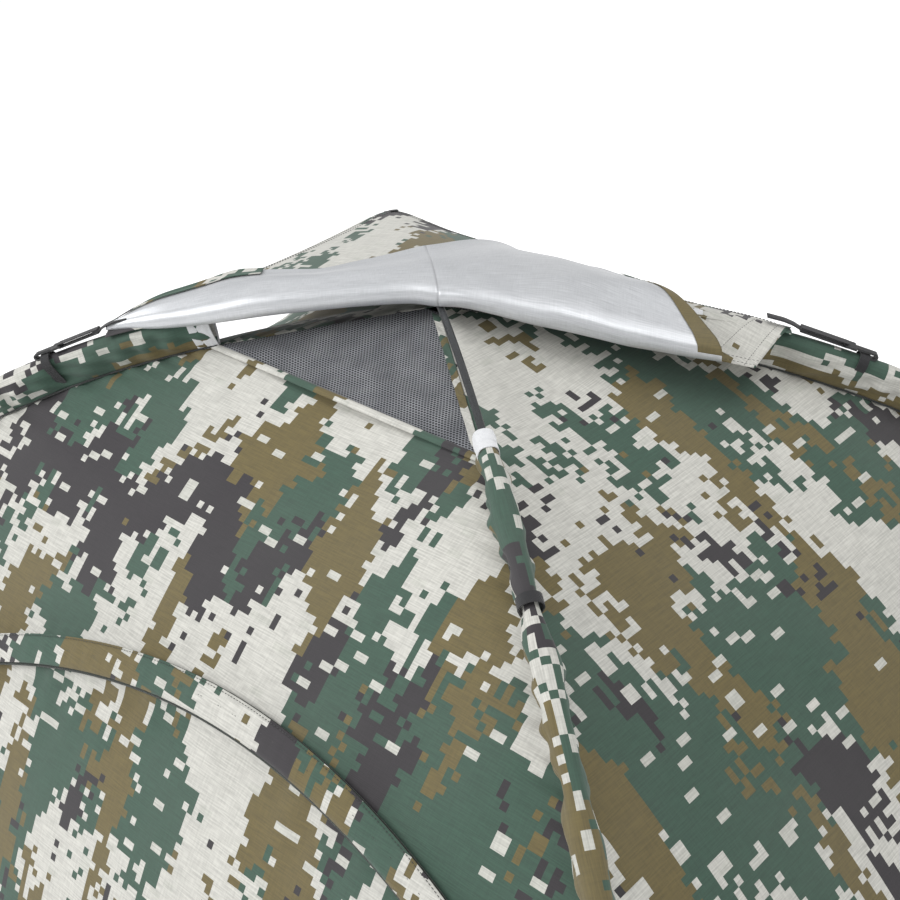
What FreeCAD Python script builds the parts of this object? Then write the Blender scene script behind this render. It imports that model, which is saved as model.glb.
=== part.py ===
"""Two-pole dome tent in printed camouflage cloth with a hooked rain cap, in millimetres.

The frame: +Z up, the groundsheet's underside at z = 0, the tent centred on the origin,
the door wall towards -Y. Two bent poles stand on the four corners and cross at the top.
Each corner is named by the pole leg that stands on it: front, left, right or back.
"""
import FreeCAD, Part
import math
import os

from FreeCAD import Matrix, Placement, Rotation, Vector

# Driving dimensions: alias, millimetres or degrees.
DIMENSIONS = {
    "tent_length": 2000.0,
    "tent_width": 1500.0,
    "peak_height": 1096.0,
    "pole_spacing": 8.2,
    "pole_radius": 3.95,
    "bore_radius": 1.7,
    "cord_radius": 1.2,
    "centre_section": 600.0,
    "section_count": 7.0,
    "ferrule_radius": 4.75,
    "ferrule_bore": 4.05,
    "ferrule_length": 60.0,
    "tip_length": 18.0,
    "sleeve_radius": 6.5,
    "sleeve_bore": 5.4,
    "web_thickness": 1.6,
    "mouth_distance": 262.0,
    "sleeve_end": 1700.0,
    "binding_length": 24.0,
    "seam_drop": 38.0,
    "cloth": 3.0,
    "apex_height": 1077.0,
    "floor_thickness": 2.0,
    "cap_distance": 385.0,
    "cap_offset": 8.5,
    "cap_cloth": 2.0,
    "cap_peak_lift": 48.0,
    "cap_corner_lift": 16.0,
    "loop_distance": 465.0,
    "loop_radius": 11.0,
    "loop_cloth": 1.2,
    "loop_width": 11.0,
    "door_centre": 130.0,
    "door_half_width": 530.0,
    "door_top": 838.6,
    "door_top_radius": 1100.0,
    "door_corner_radius": 200.0,
    "sill_height": 70.0,
    "tape_width": 12.0,
    "tape_cloth": 1.4,
    "cover_width": 34.0,
    "slider_travel": 400.0,
    "slider_height": 330.0,
    "tab_width": 25.0,
    "tab_inner": 1190.0,
    "tab_outer": 1312.0,
    "peg_hole_distance": 1285.0,
    "peg_hole_radius": 5.0,
    "eyelet_radius": 8.0,
    "eyelet_bore": 4.5,
}

GAP = 0.3
UP = Vector(0, 0, 1)

doc = FreeCAD.newDocument("dome_tent")
sheet = doc.addObject("Spreadsheet::Sheet", "Dimensions")
for row, (alias, value) in enumerate(DIMENSIONS.items(), start=1):
    sheet.set(f"A{row}", alias)
    sheet.set(f"B{row}", str(value))
    sheet.setAlias(f"B{row}", alias)
doc.recompute()


def size(alias):
    """A driving dimension, read back from the sheet."""
    return float(getattr(sheet, alias))


# Derived frame geometry.
HALF_DIAGONAL = math.hypot(size("tent_length"), size("tent_width")) / 2
ALONG_X = size("tent_length") / 2 / HALF_DIAGONAL
ALONG_Y = size("tent_width") / 2 / HALF_DIAGONAL
LEGS = {
    "front": Vector(ALONG_X, -ALONG_Y, 0),
    "left": Vector(-ALONG_X, -ALONG_Y, 0),
    "right": Vector(ALONG_X, ALONG_Y, 0),
    "back": Vector(-ALONG_X, ALONG_Y, 0),
}


def pole_circle(height):
    """Radius and centre height of the arc through two feet and the crossing."""
    radius = (HALF_DIAGONAL ** 2 + height ** 2) / (2 * height)
    return radius, height - radius


UPPER = pole_circle(size("peak_height"))
LOWER = pole_circle(size("peak_height") - size("pole_spacing"))
LEG_CIRCLE = {"left": UPPER, "right": UPPER, "front": LOWER, "back": LOWER}
BODY_RADIUS = UPPER[0] - size("seam_drop")
BODY_CENTRE = UPPER[1]

parts = []


def keep(obj, label):
    """Give a finished sub-part its own label and remember it for the export."""
    obj.Label = label
    parts.append(obj)
    return obj


def feature(label, shape, placement=None):
    """A sub-part whose shape is computed from the sheet's values."""
    obj = doc.addObject("Part::Feature", label)
    obj.Shape = shape
    if placement is not None:
        obj.Placement = placement
    return keep(obj, label)


def bind(obj, **expressions):
    """Tie properties of an object to the sheet."""
    for name, expression in expressions.items():
        obj.setExpression(name, expression)
    return obj


def leg_placement(leg, low_distance):
    """Placement whose local XY plane is the leg's upright plane, X starting at the
    point that lies low_distance from the crossing and turning uphill."""
    radius, centre = LEG_CIRCLE[leg]
    out = LEGS[leg]
    side = out.cross(UP)
    frame = Placement(
        Matrix(out.x, UP.x, side.x, 0, out.y, UP.y, side.y, 0, out.z, UP.z, side.z, centre, 0, 0, 0, 1)
    )
    start = 90 - math.degrees(low_distance / radius)
    return frame * Placement(Vector(), Rotation(Vector(0, 0, 1), start))


def point_placement(leg, distance):
    """Placement on the pole axis: X downhill, Z outward, Y across."""
    radius, centre = LEG_CIRCLE[leg]
    angle = distance / radius
    out = LEGS[leg]
    downhill = out * math.cos(angle) - UP * math.sin(angle)
    outward = out * math.sin(angle) + UP * math.cos(angle)
    across = outward.cross(downhill)
    place = outward * radius + Vector(0, 0, centre)
    columns = (downhill, across, outward, place)
    rows = [[getattr(column, axis) for column in columns] for axis in "xyz"]
    return Placement(Matrix(*rows[0], *rows[1], *rows[2], 0, 0, 0, 1))


def torus_arc(name, radius_of_arc, radius_name, length_angle):
    """A bent rod of the sheet's radius that sweeps the given angle."""
    torus = doc.addObject("Part::Torus", name)
    torus.Radius1 = radius_of_arc
    torus.Angle3 = length_angle
    return bind(torus, Radius2=f"Dimensions.{radius_name} * 1mm")


# ---------------------------------------------------------------- poles

def pole_joints(radius):
    """Distances from the crossing at which the pole's sections meet."""
    foot = radius * math.asin(HALF_DIAGONAL / radius)
    end = foot - size("tip_length")
    side_count = (int(size("section_count")) - 1) // 2
    step = (end - size("centre_section") / 2) / side_count
    positive = [size("centre_section") / 2 + step * i for i in range(side_count + 1)]
    return [-value for value in reversed(positive)] + positive


def make_pole_section(name, leg, low, high):
    """One hollow fibreglass section between two distances along the pole."""
    radius, _ = LEG_CIRCLE[leg]
    sweep = math.degrees((high - low - GAP) / radius)
    rod = torus_arc(name + "_rod", radius, "pole_radius", sweep)
    bore = torus_arc(name + "_bore", radius, "bore_radius", sweep)
    tube = doc.addObject("Part::Cut", name)
    tube.Base = rod
    tube.Tool = bore
    tube.Placement = leg_placement(leg, high - GAP / 2)
    keep(tube, name)


def make_ferrules(name, leg):
    """The metal sleeves that join a pole's sections, as one group."""
    radius, _ = LEG_CIRCLE[leg]
    sweep = math.degrees(size("ferrule_length") / radius)
    solids = []
    for joint in pole_joints(radius)[1:-1]:
        outer = Part.makeTorus(radius, size("ferrule_radius"), Vector(), UP, -180, 180, sweep)
        inner = Part.makeTorus(radius, size("ferrule_bore"), Vector(), UP, -180, 180, sweep)
        ring = outer.cut(inner)
        ring.Placement = leg_placement(leg, joint + size("ferrule_length") / 2)
        solids.append(ring)
    feature(name, Part.makeCompound(solids))


def make_shock_cord(name, leg):
    """The elastic cord that runs through a whole pole."""
    radius, _ = LEG_CIRCLE[leg]
    joints = pole_joints(radius)
    cord = torus_arc(name, radius, "cord_radius", math.degrees((joints[-1] - joints[0]) / radius))
    cord.Placement = leg_placement(leg, joints[-1])
    keep(cord, name)


def make_poles():
    for name, leg in (("upper_pole", "right"), ("lower_pole", "front")):
        radius, _ = LEG_CIRCLE[leg]
        joints = pole_joints(radius)
        for index, (low, high) in enumerate(zip(joints, joints[1:]), start=1):
            make_pole_section(f"{name}_section_{index}", leg, low, high)
        make_ferrules(f"{name}_ferrules", leg)
        make_shock_cord(f"{name}_shock_cord", leg)


def make_pole_tips():
    """Turned metal end pins, one in each end of each pole."""
    pin_radius = 2.6
    pin_length = 10.0
    collar_length = size("tip_length") - pin_length - 2 * GAP
    solids = []
    for leg in LEGS:
        radius, _ = LEG_CIRCLE[leg]
        end = pole_joints(radius)[-1]
        collar = Part.makeCylinder(size("pole_radius"), collar_length, Vector(GAP, 0, 0), Vector(1, 0, 0))
        pin = Part.makeCylinder(pin_radius, pin_length, Vector(GAP + collar_length, 0, 0), Vector(1, 0, 0))
        tip = collar.fuse(pin).removeSplitter()
        tip.Placement = point_placement(leg, end)
        solids.append(tip)
    feature("pole_tips", Part.makeCompound(solids))


# ---------------------------------------------------------------- sleeves

def sleeve_core(leg, tube_radius, half_web, sweep, web_top):
    """A round tube along the pole with a flat web reaching down to the body seam."""
    radius, centre = LEG_CIRCLE[leg]
    tube = Part.makeTorus(radius, tube_radius, Vector(), UP, -180, 180, sweep)
    seam_radius = BODY_RADIUS + size("cloth") + 1.0 + (BODY_CENTRE - centre)
    outer = Part.makeCylinder(radius - web_top, 2 * half_web, Vector(0, 0, -half_web), UP, sweep)
    inner = Part.makeCylinder(seam_radius, 2 * half_web, Vector(0, 0, -half_web), UP, sweep)
    return tube.fuse(outer.cut(inner))


def make_sleeve(leg):
    """Cloth sleeve over the leg, from its mouth near the crossing to just above the foot."""
    radius, _ = LEG_CIRCLE[leg]
    length = size("sleeve_end") - size("mouth_distance")
    sweep = math.degrees(length / radius)
    solid = sleeve_core(leg, size("sleeve_radius"), size("web_thickness") / 2, sweep, size("sleeve_bore") + 0.4)
    bore = Part.makeTorus(radius, size("sleeve_bore"), Vector(), UP, -180, 180, sweep)
    feature("sleeve_" + leg, solid.cut(bore), leg_placement(leg, size("sleeve_end")))


def make_sleeve_bindings():
    """White tape bound over the mouth of each sleeve and down its web."""
    tape = 1.2
    solids = []
    for leg in LEGS:
        radius, _ = LEG_CIRCLE[leg]
        sweep = math.degrees(size("binding_length") / radius)
        inner_radius = size("sleeve_radius") + 0.2
        half_web = size("web_thickness") / 2 + 0.2
        outer = sleeve_core(leg, inner_radius + tape, half_web + tape, sweep, size("sleeve_bore"))
        inner = sleeve_core(leg, inner_radius, half_web, sweep, size("sleeve_bore"))
        binding = outer.cut(inner)
        binding.Placement = leg_placement(leg, size("mouth_distance") + size("binding_length"))
        solids.append(binding)
    feature("sleeve_bindings", Part.makeCompound(solids))


def loop_profile(radius, low):
    """Teardrop face round the sleeve, pointed towards the body seam."""
    depth = 36.0
    angle = math.acos(radius / depth)
    side = Vector(0, radius * math.sin(angle), -radius * math.cos(angle))
    mirror = Vector(0, -side.y, side.z)
    top = Part.Arc(side, Vector(0, 0, radius), mirror).toShape()
    tip = Vector(0, 0, -depth)
    face = Part.Face(Part.Wire([top, Part.makeLine(mirror, tip), Part.makeLine(tip, side)]))
    solid = face.extrude(Vector(size("loop_width"), 0, 0))
    return solid.cut(Part.makeBox(4 * radius, 4 * radius, depth, Vector(-radius, -2 * radius, low - depth)))


def make_sleeve_loops():
    """Black webbing loops sewn over each sleeve for the cap's hooks."""
    solids = []
    for leg in LEGS:
        seam_depth = size("seam_drop") - size("cloth") - (BODY_CENTRE - LEG_CIRCLE[leg][1])
        outer = loop_profile(size("loop_radius") + size("loop_cloth"), 6.0 - seam_depth)
        inner = loop_profile(size("loop_radius"), -60.0)
        band = outer.cut(inner)
        band.translate(Vector(-size("loop_width") / 2, 0, 0))
        band.Placement = point_placement(leg, size("loop_distance")) * band.Placement
        solids.append(band)
    feature("sleeve_loops", Part.makeCompound(solids))


# ---------------------------------------------------------------- tent body

def body_half_width(radius, height):
    """Distance from the middle to the shell of that radius, along a leg's direction."""
    return math.sqrt(radius ** 2 - (height - BODY_CENTRE) ** 2)


SEAM_HEIGHT = BODY_CENTRE + BODY_RADIUS * math.cos(size("mouth_distance") / UPPER[0])
FLOOR_TOP = size("floor_thickness") + 0.2


def profile_face(scale, inner_offset, outer_offset, bottom, with_peak=True):
    """Upright section of a wall: an elliptical sweep up to the mouth level and a
    straight rise from there to the apex, between two offsets outside the body."""
    edges = []
    ends = []
    for offset in (inner_offset, outer_offset):
        radius = BODY_RADIUS + offset
        centre = Vector(0, 0, BODY_CENTRE)
        ellipse = Part.Ellipse(Vector(0, 0, BODY_CENTRE + radius), Vector(0, radius * scale, BODY_CENTRE), centre)
        low = Vector(0, scale * body_half_width(radius, bottom), bottom)
        high = Vector(0, scale * body_half_width(radius, SEAM_HEIGHT), SEAM_HEIGHT)
        peak = Vector(0, 0, size("apex_height") + offset)
        angles = sorted((ellipse.parameter(low), ellipse.parameter(high)))
        edges.append(Part.Edge(ellipse, *angles))
        ends.append((low, high, peak))
        if with_peak:
            edges.append(Part.makeLine(high, peak))
    edges.append(Part.makeLine(ends[0][0], ends[1][0]))
    last = 2 if with_peak else 1
    edges.append(Part.makeLine(ends[0][last], ends[1][last]))
    return Part.Face(Part.Wire(Part.__sortEdges__(edges)))


def wall_panel(side, inner_offset=0.0, outer_offset=None, bottom=None, seam_gap=0.2, with_peak=True):
    """One of the four wall panels of the body, cut off at the diagonal seams."""
    outer_offset = size("cloth") if outer_offset is None else outer_offset
    bottom = FLOOR_TOP if bottom is None else bottom
    scale = ALONG_Y if side in ("front", "back") else ALONG_X
    turn = {"back": 0, "left": 90, "front": 180, "right": 270}[side]
    reach = size("tent_length")
    solid = profile_face(scale, inner_offset, outer_offset, bottom, with_peak).extrude(Vector(2 * reach, 0, 0))
    solid.translate(Vector(-reach, 0, 0))
    solid.rotate(Vector(), UP, turn)
    corners = {
        "front": ("left", "front"),
        "right": ("front", "right"),
        "back": ("right", "back"),
        "left": ("back", "left"),
    }[side]
    outward = (LEGS[corners[0]] + LEGS[corners[1]]).normalize() * seam_gap
    points = [outward + LEGS[name] * 3 * reach for name in corners]
    wedge = Part.Face(Part.makePolygon([outward, *points, outward])).extrude(UP * 2 * reach)
    return solid.common(wedge)


def slab(low, high):
    """Everything between two heights."""
    reach = 2 * size("tent_length")
    return Part.makeBox(2 * reach, 2 * reach, high - low, Vector(-reach, -reach, low))


def door_outline(grow):
    """Prism through the front wall with the door's outline, grown by a margin:
    two upright legs, a broad arched top and two round corners."""
    left = size("door_centre") - size("door_half_width") - grow
    right = size("door_centre") + size("door_half_width") + grow
    top_radius = size("door_top_radius") + grow
    corner_radius = size("door_corner_radius") + grow
    middle = Vector(size("door_centre"), 0, size("door_top") - size("door_top_radius"))
    reach = top_radius - corner_radius
    across = size("door_half_width") - size("door_corner_radius")
    rise = math.sqrt(reach ** 2 - across ** 2)
    wire = []
    corner_left = middle + Vector(-across, 0, rise)
    corner_right = middle + Vector(across, 0, rise)
    to_left = Vector(-across, 0, rise).normalize()
    to_right = Vector(across, 0, rise).normalize()
    bottom = size("sill_height") - grow
    leg_left = Vector(left, 0, corner_left.z)
    leg_right = Vector(right, 0, corner_right.z)
    split_left = (to_left + Vector(-1, 0, 0)).normalize()
    split_right = (to_right + Vector(1, 0, 0)).normalize()
    start = middle + to_left * top_radius
    end = middle + to_right * top_radius
    wire.append(Part.makeLine(Vector(left, 0, bottom), leg_left))
    wire.append(Part.Arc(leg_left, corner_left + split_left * corner_radius, start).toShape())
    wire.append(Part.Arc(start, middle + UP * top_radius, end).toShape())
    wire.append(Part.Arc(end, corner_right + split_right * corner_radius, leg_right).toShape())
    wire.append(Part.makeLine(leg_right, Vector(right, 0, bottom)))
    wire.append(Part.makeLine(Vector(right, 0, bottom), Vector(left, 0, bottom)))
    face = Part.Face(Part.Wire(wire))
    return face.extrude(Vector(0, -size("tent_width"), 0))


def make_walls():
    """Four cloth walls; the door wall and the one opposite stop at their mesh tops."""
    under_mesh = slab(0, SEAM_HEIGHT - 0.2)
    over_seam = slab(SEAM_HEIGHT + 0.2, 2 * size("peak_height"))
    front = wall_panel("front")
    feature("front_wall", front.common(under_mesh).cut(door_outline(0)))
    feature("front_mesh_vent", front.common(over_seam))
    back = wall_panel("back")
    feature("back_wall", back.common(under_mesh))
    feature("back_mesh_vent", back.common(over_seam))
    feature("left_wall", wall_panel("left"))
    feature("right_wall", wall_panel("right"))


def make_door():
    """Door panel, its zip tapes and the cover strip over the zip."""
    gap = 1.0
    panel = wall_panel("front").common(slab(0, SEAM_HEIGHT))
    feature("door_panel", panel.common(door_outline(-gap)))
    inner = size("cloth") + GAP
    outer = inner + size("tape_cloth")
    skin = wall_panel("front", inner, outer, with_peak=False)
    above_sill = slab(size("sill_height") + gap, size("peak_height"))
    skin = skin.common(above_sill)
    feature("zip_tape_wall", skin.common(door_outline(size("tape_width"))).cut(door_outline(gap)))
    feature("zip_tape_door", skin.common(door_outline(-gap)).cut(door_outline(-size("tape_width"))))
    margin = size("tape_width") + gap
    cover = door_outline(margin + size("cover_width")).cut(door_outline(margin))
    feature("zip_cover_strip", skin.common(cover))


def make_floor():
    """Groundsheet as a box with its sizes tied to the sheet."""
    floor = doc.addObject("Part::Box", "groundsheet")
    length = 2 * ALONG_X * body_half_width(BODY_RADIUS, 0)
    width = 2 * ALONG_Y * body_half_width(BODY_RADIUS, 0)
    floor.Length = length
    floor.Width = width
    bind(floor, Height="Dimensions.floor_thickness * 1mm")
    floor.Placement = Placement(Vector(-length / 2, -width / 2, 0), Rotation())
    keep(floor, "groundsheet")
    return Part.makeBox(length + 2 * GAP, width + 2 * GAP, 10, Vector(-length / 2 - GAP, -width / 2 - GAP, -1))


def make_corner_tabs(floor_space):
    """Webbing tabs at the corners with an eyelet for the pole tip and a peg hole."""
    width = size("tab_width")
    inner = size("tab_inner")
    length = size("tab_outer") - inner
    tabs = []
    eyelets = []
    for leg, out in LEGS.items():
        turn = Rotation(Vector(1, 0, 0), out)
        tab = Part.makeBox(length, width, size("floor_thickness"), Vector(inner, -width / 2, 0))
        peg = Part.makeCylinder(size("peg_hole_radius"), 20, Vector(size("peg_hole_distance"), 0, -10))
        foot = Vector(HALF_DIAGONAL, 0, 0)
        seat = Part.makeCylinder(size("eyelet_radius") + 0.2, 20, foot - UP * 10)
        tab = tab.cut(peg).cut(seat)
        tab.Placement = Placement(Vector(), turn)
        tabs.append(tab.cut(floor_space))
        ring = Part.makeCylinder(size("eyelet_radius"), size("floor_thickness") + 0.6, foot)
        ring = ring.cut(Part.makeCylinder(size("eyelet_bore"), 20, foot - UP * 10))
        ring.Placement = Placement(Vector(), turn)
        eyelets.append(ring)
    feature("corner_tabs", Part.makeCompound(tabs))
    feature("corner_eyelets", Part.makeCompound(eyelets))


# ---------------------------------------------------------------- zip sliders

PIN_RADIUS = 0.9
PIN_Y = -2.9
PIN_Z = 5.4
SLIDER_SHIFT = 6.5


def slider_circle():
    """Centre of the arc that the wall follows at the slider's middle height."""
    cosine = (size("slider_height") - BODY_CENTRE) / BODY_RADIUS
    sine = math.sqrt(1 - cosine ** 2)
    place = Vector(0, -ALONG_Y * BODY_RADIUS * sine, size("slider_height"))
    speed = math.sqrt((ALONG_Y * cosine) ** 2 + sine ** 2)
    outward = Vector(0, -sine, ALONG_Y * cosine).normalize()
    curve = BODY_RADIUS * speed ** 3 / ALONG_Y
    return place - outward * curve, outward, curve


def slider_body():
    """Flat slider with two lugs and the round pin that its pull tab hangs on."""
    body = Part.makeBox(9, 14, 2.4, Vector(-4.5, -7, 0)).fuse(Part.makeBox(6, 4, 2.4, Vector(-3, 5, 0)))
    lugs = [Part.makeBox(1.2, 3.4, 4.6, Vector(x, PIN_Y - 1.7, 2.2)) for x in (-3.8, 2.6)]
    pin = Part.makeCylinder(PIN_RADIUS, 6, Vector(-3, PIN_Y, PIN_Z), Vector(1, 0, 0))
    return body.fuse([*lugs, pin]).removeSplitter()


def pull_tab():
    """A flat tab lying down the wall, with an eye round the slider's pin."""
    eye = Part.makeCylinder(2.1, 3.6, Vector(-1.8, PIN_Y, PIN_Z), Vector(1, 0, 0))
    bore = Part.makeCylinder(PIN_RADIUS + 0.06, 9, Vector(-4, PIN_Y, PIN_Z), Vector(1, 0, 0))
    arm = Part.makeBox(3, 5.5, 1.6, Vector(-1.5, PIN_Y - 7.0, PIN_Z - 0.8))
    tab = Part.makeBox(7, 27, 1.6, Vector(-3.5, PIN_Y - 33.5, PIN_Z - 0.8))
    corners = [edge for edge in tab.Edges if abs(edge.tangentAt(edge.FirstParameter).z) > 0.9]
    return tab.makeFillet(2.0, corners).fuse([arm, eye]).removeSplitter().cut(bore)


def make_slider(side, across):
    """Zip slider waiting at the foot of one leg of the door, and its pull tab."""
    centre, outward, curve = slider_circle()
    upward = outward.cross(Vector(1, 0, 0))
    lift = size("cloth") + size("tape_cloth") + GAP + 1.0
    place = centre + outward * (curve + lift) + Vector(across, 0, 0)
    rows = [[getattr(v, axis) for v in (Vector(1, 0, 0), upward, outward, place)] for axis in "xyz"]
    stand = Placement(Matrix(*rows[0], *rows[1], *rows[2], 0, 0, 0, 1))
    lower = Rotation(Vector(1, 0, 0), math.degrees(size("slider_travel") / 2 / curve))
    at_rest = Placement(Vector(), lower, centre) * stand
    feature(f"zip_slider_{side}", slider_body(), at_rest)
    feature(f"zip_pull_{side}", pull_tab(), at_rest)
    print("pull", side, tuple(at_rest.multVec(Vector(0, PIN_Y, PIN_Z))))


def make_sliders():
    """One slider waits at the foot of each leg of the door zip."""
    half = size("door_half_width") + SLIDER_SHIFT
    make_slider("left", size("door_centre") - half)
    make_slider("right", size("door_centre") + half)


# ---------------------------------------------------------------- rain cap

PEAK = Vector(0, 0, size("peak_height") + size("cap_peak_lift"))
WING_INSET = 4.0
OVER_RIDGE = Vector(-193, 145, 1094)
OVER_EDGE = Vector(-160, 239, 1064)
CREASE = Vector(-90, 238, 1066)
HANGING_TIP = Vector(-124, 338, 965)


def cap_corner(leg):
    """Corner of the cap above a leg, all four at one height."""
    radius, centre = UPPER
    angle = size("cap_distance") / radius
    height = centre + radius * math.cos(angle) + size("cap_corner_lift")
    return LEGS[leg] * radius * math.sin(angle) + Vector(0, 0, height)


def folded_front_corner():
    """Where the front corner lies once it is turned back over the upper pole."""
    corner = cap_corner("front")
    normal = LEGS["right"].cross(UP)
    return corner - normal * (2 * corner.dot(normal))


def make_cap_rear():
    """The half of the cap behind the upper pole, lying over both rear walls."""
    offset = size("seam_drop") + size("cap_offset")
    low = UPPER[1] + UPPER[0] * math.cos(size("cap_distance") / UPPER[0]) + size("cap_offset")
    pieces = []
    for scale, side in ((ALONG_X, "left"), (ALONG_Y, "back")):
        turn = {"back": 0, "left": 90}[side]
        inner = BODY_RADIUS + offset
        outer = inner + size("cap_cloth")
        tall = Part.makeCylinder(outer, 4000, Vector(-2000, 0, 0), Vector(1, 0, 0))
        hollow = Part.makeCylinder(inner, 4000, Vector(-2000, 0, 0), Vector(1, 0, 0))
        ring = tall.cut(hollow).transformGeometry(Matrix(1, 0, 0, 0, 0, scale, 0, 0, 0, 0, 1, BODY_CENTRE, 0, 0, 0, 1))
        ring.rotate(Vector(), UP, turn)
        corners = {"back": ("right", "back"), "left": ("back", "left")}[side]
        points = [LEGS[name] * 3000 for name in corners]
        wedge = Part.Face(Part.makePolygon([Vector(), *points, Vector()])).extrude(UP * 3000)
        pieces.append(ring.common(wedge).common(slab(low, 3000)))
    feature("cap_rear", pieces[0].fuse(pieces[1]).removeSplitter())


def cap_wing(leg):
    """Half of the turned-back front of the cap: flat facets from the peak over the rear
    half, and one that hangs down behind the rear edge."""
    corner = cap_corner(leg)
    start = corner + (folded_front_corner() - corner).normalize() * WING_INSET
    apart = LEGS[leg] * WING_INSET
    crease = CREASE + apart
    tip = HANGING_TIP + apart
    inward = (start + crease) / 2 - PEAK
    point = PEAK + Vector(inward.x, inward.y, 0).normalize() * WING_INSET
    facets = {
        "left": [
            (point, start, OVER_RIDGE),
            (point, OVER_RIDGE, crease),
            (OVER_RIDGE, OVER_EDGE, crease),
            (OVER_EDGE, crease, tip),
        ],
        "right": [(point, start, crease), (start, crease, tip)],
    }[leg]
    solids = []
    for corners in facets:
        face = Part.Face(Part.makePolygon([*corners, corners[0]]))
        solids.append(face.extrude(UP * size("cap_cloth")))
    return solids[0].fuse(solids[1:]).removeSplitter()


def fold_turn(leg):
    """Angle, about the line from the peak to a corner, that lays the front corner in place."""
    axis = (cap_corner(leg) - PEAK).normalize()
    folded = folded_front_corner() - PEAK
    laid = cap_corner("front") - PEAK
    folded = folded - axis * folded.dot(axis)
    laid = laid - axis * laid.dot(axis)
    angle = math.degrees(math.atan2(axis.dot(folded.cross(laid)), folded.dot(laid)))
    return axis, angle


def make_cap_wings():
    """The turned-back front of the cap as its two halves."""
    for leg in ("left", "right"):
        feature("cap_flap_" + leg, cap_wing(leg))


def motion_notes():
    """The axes and turns that the joints need, worked out from the sizes."""
    for leg in ("left", "right"):
        axis, angle = fold_turn(leg)
        print("fold", leg, tuple(PEAK), tuple(axis), angle)
    centre, _, curve = slider_circle()
    print("slider", tuple(centre), math.degrees(size("slider_travel") / curve))
    sill = size("cloth") + size("tape_cloth") + GAP + 0.6
    print("sill", -ALONG_Y * body_half_width(BODY_RADIUS + sill, size("sill_height")))
    for leg in LEGS:
        stand = point_placement(leg, size("loop_distance"))
        print("hook", leg, tuple(stand.Base), tuple(stand.Rotation.multVec(Vector(1, 0, 0))))
    print("loose hook", loose_hook_notes())


# ---------------------------------------------------------------- hooks and straps

SHANK_LOW = 13.4
SHANK = 2.4
HOOK_WIDTH = 8.0
BAR_START = -26.0
BAR = 2.6
SLOT = 2.8
STRAP_GAP = 4.0
LOOSE_SWING = 83.0
REAR_SLOPE = Vector(0, 0.757, -0.654).normalize()


def hook_solid():
    """Flat moulded hook: a round bar for the strap, a shank and a curled tongue."""
    head = Part.makeBox(14, 17, SHANK, Vector(BAR_START, -8.5, SHANK_LOW))
    head = head.makeFillet(1.0, [e for e in head.Edges if abs(e.tangentAt(e.FirstParameter).z) > 0.9])
    slot = Part.makeBox(BAR + SLOT + 1, 12, 3 * SHANK, Vector(BAR_START - 1, -6, SHANK_LOW - SHANK))
    bar_place = Vector(BAR_START + BAR / 2, -7, SHANK_LOW + SHANK / 2)
    bar = Part.makeCylinder(SHANK / 2, 14, bar_place, Vector(0, 1, 0))
    shank = Part.makeBox(24, HOOK_WIDTH, SHANK, Vector(-14, -HOOK_WIDTH / 2, SHANK_LOW))
    tongue = Part.makeBox(13, HOOK_WIDTH, 2.0, Vector(-3, -HOOK_WIDTH / 2, 7.5))
    middle = (SHANK_LOW + SHANK + 7.5) / 2
    reach = SHANK_LOW + SHANK - middle
    bend = Part.makeCylinder(reach, HOOK_WIDTH, Vector(10, -HOOK_WIDTH / 2, middle), Vector(0, 1, 0))
    inner = Part.makeCylinder(reach - 2.2, HOOK_WIDTH, Vector(10, -HOOK_WIDTH / 2, middle), Vector(0, 1, 0))
    half = Part.makeBox(20, 2 * HOOK_WIDTH, 40, Vector(10, -HOOK_WIDTH, -10))
    curl = bend.cut(inner).common(half)
    return head.cut(slot).fuse([bar, shank, tongue, curl]).removeSplitter()


def strap_solid(start):
    """Webbing looped flat round the hook's bar and sewn over the cap's corner."""
    thick = 1.2
    ease = 0.4
    end = BAR_START + BAR + ease + thick
    low = SHANK_LOW - ease - thick
    high = SHANK_LOW + SHANK + ease + thick
    outer = Part.makeBox(end - start, 10, high - low, Vector(start, -5, low))
    void = Part.makeBox(end - start - 2 * thick - 6, 12, high - low - 2 * thick, Vector(start + thick + 6, -6, low + thick))
    return outer.cut(void)


def make_hooks():
    """Hooked straps at three corners, and the loose one on the turned-back corner."""
    start = size("cap_distance") + STRAP_GAP - size("loop_distance")
    for leg in ("left", "right", "back"):
        stand = point_placement(leg, size("loop_distance"))
        feature("cap_strap_" + leg, strap_solid(start), stand)
        feature("cap_hook_" + leg, hook_solid(), stand)
    stand = loose_hook_stand()
    feature("cap_strap_front", strap_solid(start), stand)
    feature("cap_hook_front", hook_solid(), stand)


def loose_hook_stand():
    """Where the loose strap and hook lie: down the slope of the rear wall, clear of it."""
    across = Vector(-1, 0, 0)
    outward = REAR_SLOPE.cross(across)
    turn = Rotation(REAR_SLOPE, across, outward, "XYZ")
    start = size("cap_distance") + STRAP_GAP - size("loop_distance")
    middle = SHANK_LOW + SHANK / 2
    tip = HANGING_TIP + LEGS["right"] * WING_INSET + REAR_SLOPE * STRAP_GAP
    return Placement(tip - turn.multVec(Vector(start, 0, middle)), turn)


def loose_hook_notes():
    """Point and direction of the bar that the loose hook swings on, and its swing."""
    stand = loose_hook_stand()
    pivot = Vector(BAR_START + BAR / 2, 0, SHANK_LOW + SHANK / 2)
    return tuple(stand.multVec(pivot)), tuple(stand.Rotation.multVec(Vector(0, -1, 0))), LOOSE_SWING


make_poles()
make_pole_tips()
for leg_name in LEGS:
    make_sleeve(leg_name)
make_sleeve_bindings()
make_sleeve_loops()
make_walls()
make_door()
make_corner_tabs(make_floor())
make_sliders()
make_cap_rear()
make_cap_wings()
make_hooks()

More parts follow.
